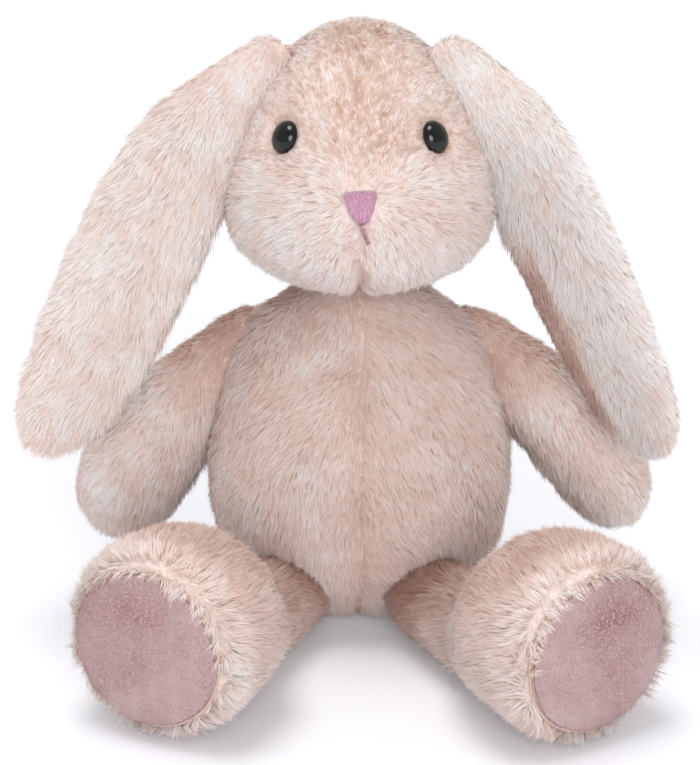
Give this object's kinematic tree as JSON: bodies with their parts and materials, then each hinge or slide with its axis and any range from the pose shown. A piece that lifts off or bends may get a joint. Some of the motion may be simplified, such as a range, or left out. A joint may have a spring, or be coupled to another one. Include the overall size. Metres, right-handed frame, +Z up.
{
  "type": "stuffed rabbit",
  "caption": "Sitting plush rabbit with long hanging ears, sewn arms and legs that swing, a tilting head, safety eyes and velour soles.",
  "frame": {"origin": "on the flat of the seat, on the toy's middle plane", "axes": "the toy faces -Y; +X to the right as seen from the front; +Z up"},
  "size_m": [0.2339, 0.2063, 0.2238],
  "materials": {
    "plush_pile": "long soft pile",
    "polyester_fibre": "loose fibre filling",
    "ear_lining_pile": "short soft pile",
    "sole_velour": "velour",
    "eye_plastic": "polished",
    "washer_plastic": "moulded",
    "mauve_thread": "satin stitch"
  },
  "bodies": {
    "body": {"body_cover": "plush_pile", "body_stuffing": "polyester_fibre", "tail": "plush_pile"},
    "head": {"head_cover": "plush_pile", "head_stuffing": "polyester_fibre", "eye_left": "eye_plastic", "eye_right": "eye_plastic", "eye_washer_left": "washer_plastic", "eye_washer_right": "washer_plastic", "nose": "mauve_thread", "mouth_stitch": "mauve_thread"},
    "ear_left": {"ear_left": "plush_pile", "ear_lining_left": "ear_lining_pile"},
    "arm_left": {"arm_left": "plush_pile", "arm_stuffing_left": "polyester_fibre"},
    "leg_left": {"leg_left": "plush_pile", "leg_stuffing_left": "polyester_fibre", "sole_left": "sole_velour"},
    "ear_right": {"ear_right": "plush_pile", "ear_lining_right": "ear_lining_pile"},
    "arm_right": {"arm_right": "plush_pile", "arm_stuffing_right": "polyester_fibre"},
    "leg_right": {"leg_right": "plush_pile", "leg_stuffing_right": "polyester_fibre", "sole_right": "sole_velour"}
  },
  "joints": [
    {"name": "head_tilt", "type": "hinge", "parent": "body", "child": "head", "pos_m": [0, 0, 0.11], "axis": [0, 1, 0], "range_deg": [-15, 15]},
    {"name": "ear_swing_left", "type": "hinge", "parent": "head", "child": "ear_left", "pos_m": [-0.033, -0.008, 0.208], "axis": [0, 0.9816, -0.1908], "range_deg": [0, 100]},
    {"name": "arm_lift_left", "type": "hinge", "parent": "body", "child": "arm_left", "pos_m": [-0.042, 0.006, 0.102], "axis": [0, 1, 0], "range_deg": [0, 70]},
    {"name": "leg_lift_left", "type": "hinge", "parent": "body", "child": "leg_left", "pos_m": [-0.025, -0.027, 0.0175], "axis": [-0.8829, 0.4695, 0], "range_deg": [-30, 15]},
    {"name": "ear_swing_right", "type": "hinge", "parent": "head", "child": "ear_right", "pos_m": [0.033, -0.008, 0.208], "axis": [0, -0.9816, 0.1908], "range_deg": [0, 100]},
    {"name": "arm_lift_right", "type": "hinge", "parent": "body", "child": "arm_right", "pos_m": [0.042, 0.006, 0.102], "axis": [0, -1, 0], "range_deg": [0, 70]},
    {"name": "leg_lift_right", "type": "hinge", "parent": "body", "child": "leg_right", "pos_m": [0.025, -0.035, 0.0175], "axis": [-0.8387, -0.5446, 0], "range_deg": [-30, 15]}
  ]
}
